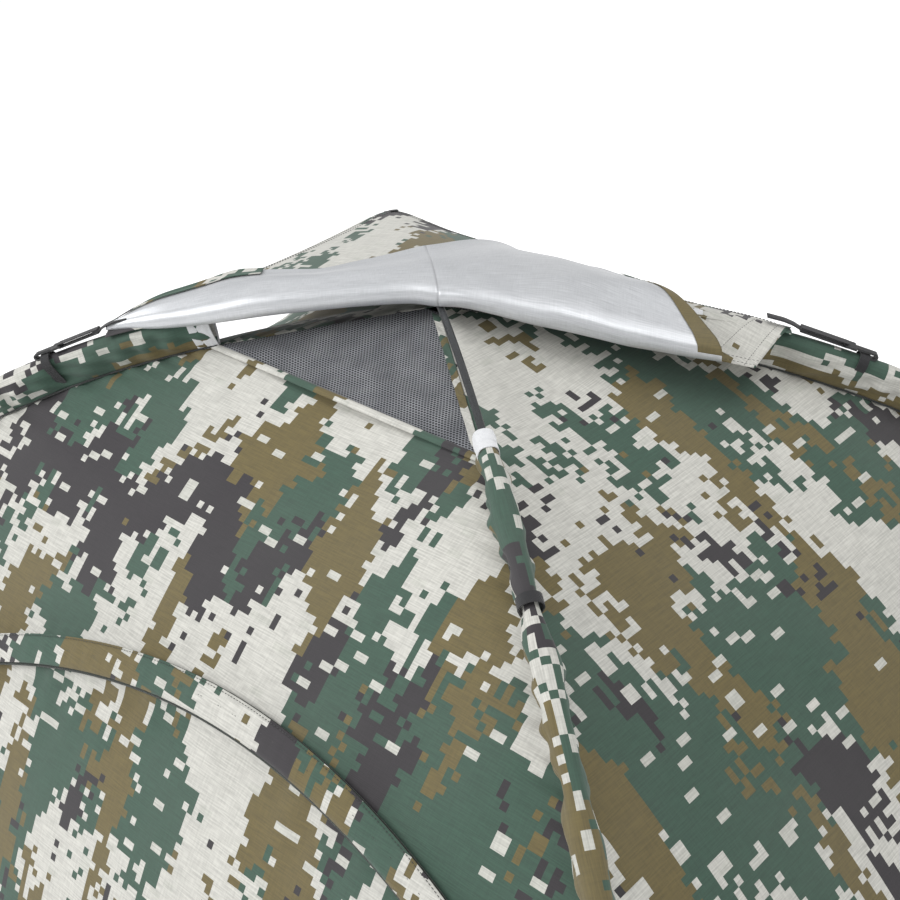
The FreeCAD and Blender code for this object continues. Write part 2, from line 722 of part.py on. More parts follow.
motion_notes()
doc.recompute()
for obj in doc.Objects:
    if any(state in ("Invalid", "Error") for state in obj.State):
        raise RuntimeError(f"{obj.Label} did not compute: {obj.State}")
for obj in parts:
    if obj.Shape.isNull() or not obj.Shape.isValid():
        raise RuntimeError(f"{obj.Label} has no valid shape")

os.makedirs("parts", exist_ok=True)
for obj in parts:
    obj.Shape.exportStep(f"parts/{obj.Label}.step")
    print(f"{obj.Label}: {len(obj.Shape.Solids)} solids, {obj.Shape.Volume / 1000:.2f} cm3")
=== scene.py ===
"""Looks for the two-pole dome tent: cloth, mesh, tape, webbing and the turned-back rain cap."""
import math

import bpy
import numpy as np
from mathutils import Matrix, Vector


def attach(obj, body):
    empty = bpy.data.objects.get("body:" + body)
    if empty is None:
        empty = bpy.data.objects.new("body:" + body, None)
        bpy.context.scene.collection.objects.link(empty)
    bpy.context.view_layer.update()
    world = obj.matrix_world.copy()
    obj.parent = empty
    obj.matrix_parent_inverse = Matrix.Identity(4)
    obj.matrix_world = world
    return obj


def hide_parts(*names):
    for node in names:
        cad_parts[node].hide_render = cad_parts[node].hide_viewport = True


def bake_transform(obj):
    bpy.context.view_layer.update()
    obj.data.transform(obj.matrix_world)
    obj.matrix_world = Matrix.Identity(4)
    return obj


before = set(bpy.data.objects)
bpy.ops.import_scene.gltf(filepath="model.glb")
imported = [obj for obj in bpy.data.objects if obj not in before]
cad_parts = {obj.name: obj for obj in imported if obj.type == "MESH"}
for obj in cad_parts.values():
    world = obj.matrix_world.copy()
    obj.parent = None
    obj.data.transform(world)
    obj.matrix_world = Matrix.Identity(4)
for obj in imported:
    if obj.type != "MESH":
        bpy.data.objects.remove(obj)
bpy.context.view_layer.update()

# ---------------------------------------------------------------- dimensions, in metres

HALF_LENGTH = 1.0
HALF_WIDTH = 0.75
PEAK_HEIGHT = 1.096
POLE_SPACING = 0.0082
SEAM_DROP = 0.038
APEX_HEIGHT = 1.0795
MOUTH = 0.262
SLEEVE_END = 1.70
LOOP_DISTANCE = 0.465
CAP_CORNER = 0.385
CORNER_LIFT = 0.009
CLOTH = 0.0009
THIN_CLOTH = 0.0008
FOOT = 0.0022
CELL = 0.0078
PRINT_SCATTER = 0.052
PRINT_GREEN = 0.500
PRINT_OLIVE = 0.562
PRINT_DARK = 0.605
NET_PITCH = 0.0042

HALF_DIAGONAL = math.hypot(HALF_LENGTH, HALF_WIDTH)
ALONG_X = HALF_LENGTH / HALF_DIAGONAL
ALONG_Y = HALF_WIDTH / HALF_DIAGONAL
LEGS = {
    "front": np.array([ALONG_X, -ALONG_Y]),
    "left": np.array([-ALONG_X, -ALONG_Y]),
    "right": np.array([ALONG_X, ALONG_Y]),
    "back": np.array([-ALONG_X, ALONG_Y]),
}
SIDES = {
    "front": ("left", "front"),
    "right": ("front", "right"),
    "back": ("right", "back"),
    "left": ("back", "left"),
}


def pole_circle(height):
    """Radius and centre height of a pole's arc."""
    radius = (HALF_DIAGONAL ** 2 + height ** 2) / (2 * height)
    return radius, height - radius


UPPER = pole_circle(PEAK_HEIGHT)
LOWER = pole_circle(PEAK_HEIGHT - POLE_SPACING)
CIRCLES = {"left": UPPER, "right": UPPER, "front": LOWER, "back": LOWER}
BODY_RADIUS = UPPER[0] - SEAM_DROP
WALL_END = UPPER[0] * math.acos(-UPPER[1] / BODY_RADIUS)


# ---------------------------------------------------------------- helpers

def ripple(x, y, seed, waves=7, spread=1.0):
    """Smooth repeatable unevenness: a sum of slanted waves, about -1 to 1."""
    random = np.random.default_rng(seed)
    total = np.zeros(np.broadcast(x, y).shape)
    for _ in range(waves):
        angle = random.uniform(0, math.tau)
        pitch = random.uniform(0.6, 1.6) * spread
        phase = random.uniform(0, math.tau)
        total += np.sin((x * math.cos(angle) + y * math.sin(angle)) * pitch + phase)
    return total / math.sqrt(waves * 2)


def between(value, low, high):
    """Smooth step from 0 at low to 1 at high."""
    share = np.clip((value - low) / (high - low), 0, 1)
    return share * share * (3 - 2 * share)


def track(stops, where):
    """Smooth values read from a few (position, value, ...) stops."""
    stops = np.array(stops, float)
    keys = stops[:, 0]
    fine = np.linspace(keys[0], keys[-1], 400)
    kernel = np.hanning(31)
    kernel /= kernel.sum()
    columns = []
    for column in stops[:, 1:].T:
        line = np.interp(fine, keys, column)
        padded = np.concatenate([2 * line[0] - line[15:0:-1], line, 2 * line[-1] - line[-2:-17:-1]])
        columns.append(np.interp(where, fine, np.convolve(padded, kernel, "valid")))
    return columns


def grid_mesh(name, points, coords, material, closed=False, thickness=0.0, hole=None, lining=None):
    """A smooth quad sheet from a (rows, columns, 3) array, with UVs in metres."""
    rows, columns = points.shape[:2]
    verts = points.reshape(-1, 3)
    faces = []
    for i in range(rows - 1):
        for j in range(columns if closed else columns - 1):
            k = (j + 1) % columns
            quad = (i * columns + j, i * columns + k, (i + 1) * columns + k, (i + 1) * columns + j)
            if hole is None or not hole[i, j]:
                faces.append(quad)
    return plain_mesh(name, verts, faces, coords.reshape(-1, 2), material, thickness, lining)


def plain_mesh(name, verts, faces, coords, material, thickness=0.0, lining=None):
    """A smooth mesh object with one UV pair per vertex; unused vertices are dropped.
    A lining is the material of its other side."""
    used = np.unique(np.concatenate([np.array(face) for face in faces]))
    renumber = np.full(len(verts), -1)
    renumber[used] = np.arange(len(used))
    verts = verts[used]
    coords = coords[used]
    faces = [tuple(int(renumber[v]) for v in face) for face in faces]
    mesh = bpy.data.meshes.new(name)
    mesh.from_pydata([tuple(v) for v in verts], [], faces)
    layer = mesh.uv_layers.new(name="UVMap")
    order = np.empty(len(mesh.loops), dtype=np.int32)
    mesh.loops.foreach_get("vertex_index", order)
    layer.data.foreach_set("uv", coords[order].astype(np.float32).ravel())
    mesh.polygons.foreach_set("use_smooth", [True] * len(mesh.polygons))
    mesh.materials.append(material)
    if lining:
        mesh.materials.append(lining)
    mesh.update()
    obj = bpy.data.objects.new(name, mesh)
    bpy.context.scene.collection.objects.link(obj)
    if thickness:
        solid = obj.modifiers.new("thickness", "SOLIDIFY")
        solid.thickness = thickness
        solid.offset = -1
        solid.material_offset = 1 if lining else 0
        apply_modifiers(obj)
    return obj


def apply_modifiers(obj):
    """Bake an object's modifiers into its mesh."""
    graph = bpy.context.evaluated_depsgraph_get()
    mesh = bpy.data.meshes.new_from_object(obj.evaluated_get(graph))
    obj.modifiers.clear()
    obj.data = mesh


def units(vectors):
    """The same rows of vectors at length 1."""
    return vectors / np.linalg.norm(vectors, axis=-1)[..., None]


def run_along(path):
    """Distance travelled at each point of a path."""
    return np.concatenate([[0], np.cumsum(np.linalg.norm(np.diff(path, axis=0), axis=1))])


def place(obj, body, slot, *nodes):
    """Let a piece ride on a body and stand for its CAD nodes; the slot is not used."""
    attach(obj, body)
    if nodes:
        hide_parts(*nodes)
    return obj


# ---------------------------------------------------------------- shader building

class Shader:
    """Short way to build one procedural material."""

    def __init__(self, name, roughness=0.7, metallic=0.0, sheen=0.0):
        self.material = bpy.data.materials.new(name)
        self.material.use_nodes = True
        self.tree = self.material.node_tree
        self.surface = self.tree.nodes["Principled BSDF"]
        self.surface.inputs["Roughness"].default_value = roughness
        self.surface.inputs["Metallic"].default_value = metallic
        self.surface.inputs["Sheen Weight"].default_value = sheen

    def node(self, kind, **settings):
        node = self.tree.nodes.new(kind)
        for key, value in settings.items():
            setattr(node, key, value)
        return node

    def link(self, source, target):
        if hasattr(source, "is_output"):
            self.tree.links.new(source, target)
        else:
            target.default_value = source

    def math(self, operation, first, second=0.0, third=0.0):
        node = self.node("ShaderNodeMath", operation=operation)
        for source, target in zip((first, second, third), node.inputs):
            self.link(source, target)
        return node.outputs[0]

    def vector(self, operation, first, second=(0, 0, 0)):
        node = self.node("ShaderNodeVectorMath", operation=operation)
        self.link(first, node.inputs[0])
        self.link(second, node.inputs[1])
        return node.outputs[0]

    def uv(self):
        return self.node("ShaderNodeUVMap", uv_map="UVMap").outputs[0]

    def object_coords(self):
        return self.node("ShaderNodeTexCoord").outputs["Object"]

    def noise(self, where, scale=1.0, detail=2.0, roughness=0.5):
        node = self.node("ShaderNodeTexNoise")
        self.link(where, node.inputs["Vector"])
        node.inputs["Scale"].default_value = scale
        node.inputs["Detail"].default_value = detail
        node.inputs["Roughness"].default_value = roughness
        return node.outputs[0]

    def white(self, where):
        node = self.node("ShaderNodeTexWhiteNoise", noise_dimensions="3D")
        self.link(where, node.inputs["Vector"])
        return node.outputs["Value"]

    def wave(self, where, scale, direction="X"):
        node = self.node("ShaderNodeTexWave", bands_direction=direction)
        self.link(where, node.inputs["Vector"])
        node.inputs["Scale"].default_value = scale
        return node.outputs["Fac"]

    def mix(self, factor, first, second, blend="MIX"):
        node = self.node("ShaderNodeMix", data_type="RGBA", blend_type=blend)
        self.link(factor, node.inputs[0])
        self.link(first, node.inputs[6])
        self.link(second, node.inputs[7])
        return node.outputs[2]

    def ramp(self, value, low, high, out_low=0.0, out_high=1.0):
        node = self.node("ShaderNodeMapRange", clamp=True)
        self.link(value, node.inputs[0])
        for index, number in enumerate((low, high, out_low, out_high), start=1):
            node.inputs[index].default_value = number
        return node.outputs[0]

    def bump(self, height, distance, strength=1.0):
        node = self.node("ShaderNodeBump")
        node.inputs["Strength"].default_value = strength
        node.inputs["Distance"].default_value = distance
        self.link(height, node.inputs["Height"])
        self.link(node.outputs[0], self.surface.inputs["Normal"])

    def paint(self, colour):
        self.link(colour, self.surface.inputs["Base Color"])
        return self.material


def colour(red, green, blue):
    """A display colour, 0 to 255, as a linear one."""
    linear = [((v / 255 + 0.055) / 1.055) ** 2.4 if v > 10 else v / 255 / 12.92 for v in (red, green, blue)]
    return (*linear, 1.0)


def weave_of(shader, where, across=420.0, up=700.0):
    """Fine uneven threads, more visible along the cloth's width."""
    long_threads = shader.noise(shader.vector("MULTIPLY", where, (40.0, up, 1.0)), 1.0, 1.0)
    cross_threads = shader.noise(shader.vector("MULTIPLY", where, (across, 60.0, 1.0)), 1.0, 1.0)
    broad = shader.math("MULTIPLY", long_threads, 0.7)
    return shader.math("ADD", broad, shader.math("MULTIPLY", cross_threads, 0.3))


def camouflage(name, shift=(0.0, 0.0), turned=False):
    """Printed four-colour square-cell pattern on plain-weave cloth."""
    shader = Shader(name, roughness=0.78, sheen=0.15)
    where = shader.vector("ADD", shader.uv(), (*shift, 0.0))
    cells = shader.vector("FLOOR", shader.vector("DIVIDE", where, (CELL, CELL, 1.0)))
    pairs = shader.vector("FLOOR", shader.vector("DIVIDE", where, (2 * CELL, CELL, 1.0)))
    tall = shader.vector("FLOOR", shader.vector("DIVIDE", where, (CELL, 2 * CELL, 1.0)))
    stretch = (0.030, 0.080, 0.0) if turned else (0.085, 0.034, 0.0)
    broad = shader.vector("MULTIPLY", cells, stretch)
    speck = shader.math("ADD", shader.white(pairs), shader.white(tall))
    speck = shader.math("ADD", speck, shader.white(cells))
    speck = shader.math("MULTIPLY", shader.math("SUBTRACT", speck, 1.5), PRINT_SCATTER)
    layers = (
        (PRINT_GREEN, colour(57, 85, 71), (11.3, 4.7, 0.0)),
        (PRINT_OLIVE, colour(106, 94, 56), (37.9, 21.1, 3.0)),
        (PRINT_DARK, colour(48, 44, 48), (71.7, 55.3, 7.0)),
    )
    paint = colour(202, 201, 194)
    for level, tint, offset in layers:
        field = shader.noise(shader.vector("ADD", broad, offset), 1.0, 2.0, 0.45)
        cut = shader.math("GREATER_THAN", shader.math("ADD", field, speck), level)
        paint = shader.mix(cut, paint, tint)
    stray = shader.math("GREATER_THAN", shader.white(shader.vector("ADD", pairs, (5.0, 9.0, 2.0))), 0.965)
    paint = shader.mix(stray, paint, colour(196, 196, 188))
    weave = weave_of(shader, where)
    cloud = shader.noise(where, 6.0, 4.0)
    paint = shader.mix(shader.ramp(weave, 0.35, 0.65, 0.0, 0.28), paint, colour(30, 32, 32))
    paint = shader.mix(shader.ramp(cloud, 0.4, 0.75, 0.0, 0.10), paint, colour(110, 112, 108))
    shader.bump(weave, 0.0004, 0.6)
    return shader.paint(paint)


def silver_coating():
    """Silver coated side: a soft metallic paint that shows the threads a little."""
    shader = Shader("silver_coated_cloth", roughness=0.38, metallic=0.4)
    where = shader.uv()
    weave = weave_of(shader, where, 900.0, 900.0)
    cloud = shader.noise(where, 14.0, 3.0)
    paint = shader.mix(shader.ramp(weave, 0.3, 0.7), colour(184, 186, 189), colour(208, 210, 213))
    paint = shader.mix(shader.ramp(cloud, 0.45, 0.7, 0.0, 0.25), paint, colour(160, 163, 167))
    shader.bump(weave, 0.0003, 0.4)
    return shader.paint(paint)


def mesh_net():
    """Fine knitted net: light threads round staggered holes painted near-black, as painted shade for the
    dark inside seen through them.
    """
    shader = Shader("grey_net", roughness=0.85)
    where = shader.uv()
    split = shader.node("ShaderNodeSeparateXYZ")
    rows = (1 / NET_PITCH, 1 / (0.62 * NET_PITCH), 1.0)
    shader.link(shader.vector("MULTIPLY", where, rows), split.inputs[0])
    row = shader.math("FLOOR", split.outputs[1])
    odd = shader.math("MULTIPLY", shader.math("MODULO", row, 2.0), 0.5)
    along = shader.math("SUBTRACT", shader.math("FRACT", shader.math("ADD", split.outputs[0], odd)), 0.5)
    up = shader.math("SUBTRACT", shader.math("FRACT", split.outputs[1]), 0.5)
    reach = shader.math("ADD", shader.math("MULTIPLY", along, along), shader.math("MULTIPLY", up, up))
    thread = shader.ramp(reach, 0.10, 0.18)
    shade = shader.noise(where, 30.0, 2.0)
    light = shader.mix(shader.ramp(shade, 0.3, 0.7), colour(112, 114, 119), colour(138, 140, 144))
    shader.bump(thread, 0.0008, 0.7)
    # The holes get near-black paint: painted shade for the shaded inside of the tent seen through the net.
    return shader.paint(shader.mix(thread, colour(34, 35, 39), light))


def woven_tape(name, light, dark, pitch, roughness=0.8):
    """Narrow woven tape or webbing with diagonal ribs."""
    shader = Shader(name, roughness=roughness, sheen=0.2)
    where = shader.object_coords()
    ribs = shader.wave(where, 1.0 / pitch, "DIAGONAL")
    fuzz = shader.noise(where, 900.0, 2.0)
    value = shader.math("ADD", shader.math("MULTIPLY", ribs, 0.6), shader.math("MULTIPLY", fuzz, 0.4))
    shader.bump(value, 0.0004, 0.7)
    return shader.paint(shader.mix(value, dark, light))


def moulded_plastic():
    """Black moulded plastic with a fine grain and rubbed lighter patches."""
    shader = Shader("black_plastic", roughness=0.38)
    where = shader.object_coords()
    grain = shader.noise(where, 1600.0, 2.0)
    wear = shader.noise(where, 90.0, 4.0)
    shader.link(shader.ramp(wear, 0.4, 0.7, 0.32, 0.55), shader.surface.inputs["Roughness"])
    shader.bump(grain, 0.0002, 0.4)
    return shader.paint(shader.mix(shader.ramp(wear, 0.55, 0.75), colour(24, 25, 27), colour(50, 51, 54)))


def pole_resin():
    """Dark glass-fibre rod: lengthwise fibres under a satin resin."""
    shader = Shader("pole_resin", roughness=0.32)
    where = shader.object_coords()
    fibre = shader.noise(shader.vector("MULTIPLY", where, (900.0, 900.0, 60.0)), 1.0, 3.0)
    scuff = shader.noise(where, 55.0, 5.0)
    shader.link(shader.ramp(scuff, 0.35, 0.7, 0.25, 0.5), shader.surface.inputs["Roughness"])
    shader.bump(fibre, 0.0001, 0.5)
    return shader.paint(shader.mix(shader.ramp(fibre, 0.3, 0.8), colour(30, 31, 33), colour(66, 68, 70)))


def brushed_metal():
    """Plated tube and pins with lengthwise scratches and a few dull spots."""
    shader = Shader("plated_metal", roughness=0.3, metallic=1.0)
    where = shader.object_coords()
    scratch = shader.noise(shader.vector("MULTIPLY", where, (200.0, 200.0, 2500.0)), 1.0, 3.0)
    shader.link(shader.ramp(scratch, 0.3, 0.7, 0.22, 0.42), shader.surface.inputs["Roughness"])
    shader.bump(scratch, 0.0001, 0.4)
    return shader.paint(shader.mix(scratch, colour(165, 167, 170), colour(205, 207, 210)))


def dark_enamel():
    """Black enamel on a cast slider, worn to metal on its high spots."""
    shader = Shader("zip_enamel", roughness=0.35, metallic=0.4)
    wear = shader.noise(shader.object_coords(), 420.0, 5.0)
    shader.bump(wear, 0.0001, 0.5)
    return shader.paint(shader.mix(shader.ramp(wear, 0.6, 0.68), colour(28, 28, 30), colour(150, 150, 148)))


def coated_groundsheet():
    """Dark green woven polyethylene with a flat-tape weave."""
    shader = Shader("groundsheet_weave", roughness=0.5)
    where = shader.object_coords()
    weave = shader.math("MULTIPLY", shader.wave(where, 160.0, "X"), shader.wave(where, 160.0, "Y"))
    dirt = shader.noise(where, 5.0, 6.0)
    paint = shader.mix(weave, colour(48, 58, 48), colour(66, 78, 64))
    shader.bump(weave, 0.0004, 0.6)
    return shader.paint(shader.mix(shader.ramp(dirt, 0.5, 0.8, 0.0, 0.4), paint, colour(92, 90, 76)))


CAMO = {
    "front": camouflage("camouflage_front", (3.10, 1.40)),
    "right": camouflage("camouflage_right", (7.73, 2.35)),
    "back": camouflage("camouflage_back", (12.4, 5.2)),
    "left": camouflage("camouflage_left", (17.9, 8.6)),
    "cap": camouflage("camouflage_cap", (23.3, 3.7)),
    "sleeve": camouflage("camouflage_sleeve", (31.7, 6.1), turned=True),
    "door": camouflage("camouflage_door", (3.10, 1.40)),
}
SILVER = silver_coating()
NET = mesh_net()
WHITE_TAPE = woven_tape("white_binding", colour(240, 241, 243), colour(205, 207, 210), 0.0011)
WEBBING = woven_tape("black_webbing", colour(44, 44, 47), colour(14, 14, 16), 0.0016)
THREAD = woven_tape("dark_thread", colour(60, 64, 62), colour(30, 32, 32), 0.0008)
PALE_THREAD = woven_tape("pale_thread", colour(190, 192, 186), colour(140, 142, 136), 0.0008)
ZIP_TAPE = woven_tape("zip_tape_weave", colour(52, 60, 52), colour(28, 33, 29), 0.0010)
PLASTIC = moulded_plastic()
RESIN = pole_resin()
METAL = brushed_metal()
ENAMEL = dark_enamel()
GROUND = coated_groundsheet()


# ---------------------------------------------------------------- tent body

def seam_point(leg, distance):
    """Body seam under a leg: round the pole's arc, then a straight rise to the apex."""
    distance = np.asarray(distance, float)
    angle = np.maximum(distance, MOUTH) / UPPER[0]
    out = BODY_RADIUS * np.sin(angle)
    height = UPPER[1] + BODY_RADIUS * np.cos(angle)
    rise = np.clip(distance / MOUTH, 0, 1)
    out = out * np.where(distance < MOUTH, rise, 1.0)
    height = np.where(distance < MOUTH, APEX_HEIGHT + (height - APEX_HEIGHT) * rise, height)
    direction = LEGS[leg]
    return np.stack([direction[0] * out, direction[1] * out, height], -1)


def panel_grid(side, distances, columns):
    """Points, outward normals and cloth coordinates of one wall panel."""
    first, second = SIDES[side]
    start = seam_point(first, distances)
    end = seam_point(second, distances)
    share = np.linspace(0, 1, columns)[None, :, None]
    points = start[:, None, :] * (1 - share) + end[:, None, :] * share
    middle = (start + end) / 2
    climb = run_along(middle)
    width = np.linalg.norm(end - start, axis=1)
    level = (share[0, :, 0] - 0.5)[None, :] * width[:, None]
    coords = np.stack([level, np.broadcast_to(-climb[:, None], level.shape)], -1)
    down = np.gradient(middle, axis=0)
    across = np.array([LEGS[second][0] - LEGS[first][0], LEGS[second][1] - LEGS[first][1], 0.0])
    across /= np.linalg.norm(across)
    normal = units(np.cross(down, across))
    if normal[len(normal) // 2] @ np.array([*(LEGS[first] + LEGS[second]), 0.5]) < 0:
        normal = -normal
    inset = np.minimum(level - level[:, :1], level[:, -1:] - level)
    return points, np.broadcast_to(normal[:, None, :], points.shape), coords, inset


def wall_relief(coords, inset, distances, seed, hollow):
    """How far the cloth stands off its even shape: slack waves, and puckers at the seams."""
    x = coords[..., 0]
    y = coords[..., 1]
    slack = 0.0048 * ripple(x * 9.0, y * 4.0, seed) * between(inset, 0.0, 0.16)
    folds = 0.0018 * ripple(x * 26.0, y * 7.0, seed + 1) * between(inset, 0.0, 0.08)
    along = np.broadcast_to(distances[:, None], x.shape)
    pucker = np.exp(-inset / 0.028) * np.sin(along * 165.0 + 2.4 * np.sin(along * 23.0 + seed))
    pucker = pucker * 0.0022 * between(inset, 0.0, 0.006)
    above_hem = WALL_END - along
    hollow = hollow * between(inset, 0.0, 0.24) * between(above_hem, 0.0, 0.30)
    return (slack + folds) * between(above_hem, 0.0, 0.05) + pucker - hollow


HOLLOWS = {"front": 0.006, "right": 0.010, "back": 0.026, "left": 0.034}


def wall_rows(start, upper, lower):
    """Distances down a wall, in an upper and a lower run of even rows."""
    change = 0.7
    return np.concatenate([np.linspace(start, change, upper), np.linspace(change, WALL_END, lower)[1:]])


def make_wall(name, side, start, seed):
    """One printed cloth wall as a tensioned, slightly uneven sheet."""
    distances = wall_rows(start, 90, 80)
    points, normals, coords, inset = panel_grid(side, distances, 170)
    relief = wall_relief(coords, inset, distances, seed, HOLLOWS[side])
    points = points + normals * relief[..., None]
    points[..., 2] = np.maximum(points[..., 2], FOOT)
    wall = grid_mesh(name + "_cloth", points, coords, CAMO[side], thickness=CLOTH)
    place(wall, "tent", "camouflage_cloth", name)


def door_outline(count=420):
    """The door's outline in X and Z: legs, round corners and a broad top arc."""
    top_radius = 1.100
    corner = 0.200
    half = 0.530
    middle = (0.130, 0.8386 - top_radius)
    sill = 0.070
    reach = top_radius - corner
    across = half - corner
    rise = math.sqrt(reach ** 2 - across ** 2)
    turn = math.asin(across / reach)
    pieces = [np.stack([np.full(60, middle[0] - half), np.linspace(sill, middle[1] + rise, 60)], -1)]
    corners = np.linspace(math.pi, math.pi / 2 + turn, 40)
    arc = np.stack([np.cos(corners), np.sin(corners)], -1) * corner
    pieces.append(arc + [middle[0] - across, middle[1] + rise])
    tops = np.linspace(math.pi / 2 + turn, math.pi / 2 - turn, 120)
    pieces.append(np.stack([np.cos(tops), np.sin(tops)], -1) * top_radius + middle)
    corners = np.linspace(math.pi / 2 - turn, 0, 40)
    arc = np.stack([np.cos(corners), np.sin(corners)], -1) * corner
    pieces.append(arc + [middle[0] + across, middle[1] + rise])
    pieces.append(np.stack([np.full(60, middle[0] + half), np.linspace(middle[1] + rise, sill, 60)], -1))
    line = np.concatenate(pieces)
    lengths = run_along(line)
    even = np.linspace(0, lengths[-1], count)
    return np.stack([np.interp(even, lengths, line[:, k]) for k in (0, 1)], -1)


def outward_of(line):
    """Directions in the door's plane at right angles to its outline."""
    tangent = units(np.gradient(line, axis=0))
    return np.stack([-tangent[:, 1], tangent[:, 0]], -1)


OUTLINE = door_outline()
OUTLINE_OUTWARD = outward_of(OUTLINE)
LEG_TOP = (0.50, 0.62)
COVER_SHIFT = -0.020
COVER_LIFT = 0.0075
LOWEST_TRIM = 0.01


def inside_door(x, z):
    """Which points lie inside the door's outline."""
    result = np.zeros(x.shape, bool)
    loop = np.concatenate([OUTLINE, OUTLINE[:1]])
    for (x1, z1), (x2, z2) in zip(loop, loop[1:]):
        if z1 != z2:
            crosses = ((z1 > z) != (z2 > z)) & (x < (x2 - x1) * (z - z1) / (z2 - z1) + x1)
            result ^= crosses
    return result


def front_surface(x, z, lift=0.0):
    """Points on the door wall for given X and Z, lifted off it."""
    radius = BODY_RADIUS
    y = -ALONG_Y * np.sqrt(radius ** 2 - (z - UPPER[1]) ** 2)
    slope_y = y / ALONG_Y ** 2
    slope_z = z - UPPER[1]
    size = np.sqrt(slope_y ** 2 + slope_z ** 2)
    return np.stack([x, y + lift * slope_y / size, z + lift * slope_z / size], -1)


def snap_to_outline(points, reach):
    """Move the grid points that lie close to the door's outline onto it."""
    flat = points.reshape(-1, 3)
    near = (flat[:, 2] < 0.86) & (flat[:, 0] > -0.45) & (flat[:, 0] < 0.72)
    for index in np.nonzero(near)[0]:
        gap = np.hypot(OUTLINE[:, 0] - flat[index, 0], OUTLINE[:, 1] - flat[index, 2])
        best = gap.argmin()
        if gap[best] < reach:
            moved = front_surface(OUTLINE[best, 0], OUTLINE[best, 1])
            base = front_surface(flat[index, 0], flat[index, 2])
            flat[index] += moved - base
    return flat.reshape(points.shape)


def make_front_wall():
    """The door wall and its door panel, hinged at the sill."""
    distances = wall_rows(MOUTH, 84, 150)
    points, normals, coords, inset = panel_grid("front", distances, 230)
    relief = wall_relief(coords, inset, distances, 11, HOLLOWS["front"])
    edge = np.full(relief.shape, 1.0)
    for x, z in OUTLINE[::4]:
        edge = np.minimum(edge, np.hypot(points[..., 0] - x, points[..., 2] - z))
    inner = inside_door(points[..., 0], points[..., 2])
    gather = np.exp(-edge / 0.05) * 0.0035 * ripple(points[..., 0] * 95, points[..., 2] * 40, 5)
    relief = relief * between(edge, 0.0, 0.03) + np.where(inner, gather * between(edge, 0.0, 0.02), 0.0)
    snapped = snap_to_outline(points, 0.0052)
    finished = snapped + normals * relief[..., None]
    finished[..., 2] = np.maximum(finished[..., 2], FOOT)
    centre = (snapped[:-1, :-1] + snapped[1:, 1:] + snapped[:-1, 1:] + snapped[1:, :-1]) / 4
    hole = inside_door(centre[..., 0], centre[..., 2])
    wall = grid_mesh("front_cloth", finished, coords, CAMO["front"], thickness=CLOTH, hole=hole)
    place(wall, "tent", "camouflage_cloth", "front_wall")
    door = grid_mesh("door_cloth", finished, coords, CAMO["door"], thickness=CLOTH, hole=~hole)
    place(door, "door", "camouflage_cloth", "door_panel")


def outline_strip(name, low, high, lift, material, bulge=0.0, arch_shift=0.0, columns=9):
    """A ribbon that follows the door's outline between two margins."""
    line = OUTLINE
    share = np.linspace(0, 1, columns)
    shift = arch_shift * between(line[:, 1], *LEG_TOP)
    margin = low + (high - low) * share[None, :] + shift[:, None]
    plan = line[:, None, :] + OUTLINE_OUTWARD[:, None, :] * margin[:, :, None]
    crown = lift + bulge * np.sin(math.pi * share)[None, :] * np.ones((len(line), 1))
    run = np.linspace(0, 1, len(line))[:, None]
    crown = crown + 0.0004 * np.sin(run * 700 + 3 * np.sin(run * 60)) * np.sin(math.pi * share)[None, :]
    points = front_surface(plan[..., 0], np.maximum(plan[..., 1], LOWEST_TRIM), crown)
    coords = np.stack([plan[..., 0], plan[..., 1] * 1.25], -1)
    return grid_mesh(name, points, coords, material, thickness=THIN_CLOTH)


def rope(name, path, radius, material, sides=8):
    """A round thread or piping along a row of points."""
    path = np.asarray(path, float)
    tangent = units(np.gradient(path, axis=0))
    upright = abs(tangent[:, 2]).max() >= 0.98
    reference = np.array([0.3, 1.0, 0.2]) if upright else np.array([0.0, 0.0, 1.0])
    side = units(np.cross(tangent, reference))
    up = np.cross(side, tangent)
    angle = np.linspace(0, math.tau, sides, endpoint=False)
    ring = side[:, None, :] * np.cos(angle)[None, :, None]
    ring = ring + up[:, None, :] * np.sin(angle)[None, :, None]
    points = path[:, None, :] + ring * radius
    run = run_along(path)
    coords = np.stack(np.broadcast_arrays(run[:, None], angle[None, :] * radius), -1)
    return grid_mesh(name, points, coords, material, closed=True)


STITCH_PITCH = 0.0042
STITCH_LENGTH = 0.0028
STITCH_RADIUS = 0.00035
STITCH_STATIONS = ((0.0, 0.3), (0.25, 1.0), (0.75, 1.0), (1.0, 0.3))


def stitches(name, path, normal, slot="camouflage_cloth", material=THREAD):
    """A row of separate stitches lying on the tent's cloth along a path."""
    path = np.asarray(path, float)
    run = run_along(path)
    count = max(2, int(run[-1] / STITCH_PITCH))
    starts = (np.arange(count) + 0.15) * run[-1] / count
    verts = []
    faces = []
    corners = 5
    for start in starts:
        ends = []
        for mark in (start, start + STITCH_LENGTH):
            ends.append(np.array([np.interp(mark, run, path[:, k]) for k in range(3)]))
        axis = ends[1] - ends[0]
        axis /= max(np.linalg.norm(axis), 1e-9)
        side = np.cross(axis, normal)
        side /= max(np.linalg.norm(side), 1e-9)
        up = np.cross(side, axis)
        base = len(verts)
        for share, swell in STITCH_STATIONS:
            centre = ends[0] * (1 - share) + ends[1] * share
            for corner in range(corners):
                angle = math.tau * corner / corners
                spoke = side * math.cos(angle) + up * math.sin(angle)
                verts.append(centre + STITCH_RADIUS * swell * spoke)
        for ring in range(len(STITCH_STATIONS) - 1):
            for corner in range(corners):
                follow = (corner + 1) % corners
                row = base + ring * corners
                above = row + corners
                faces.append((row + corner, row + follow, above + follow, above + corner))
    verts = np.array(verts)
    piece = plain_mesh(name, verts, faces, verts[:, :2].copy(), material)
    place(piece, "tent", slot)


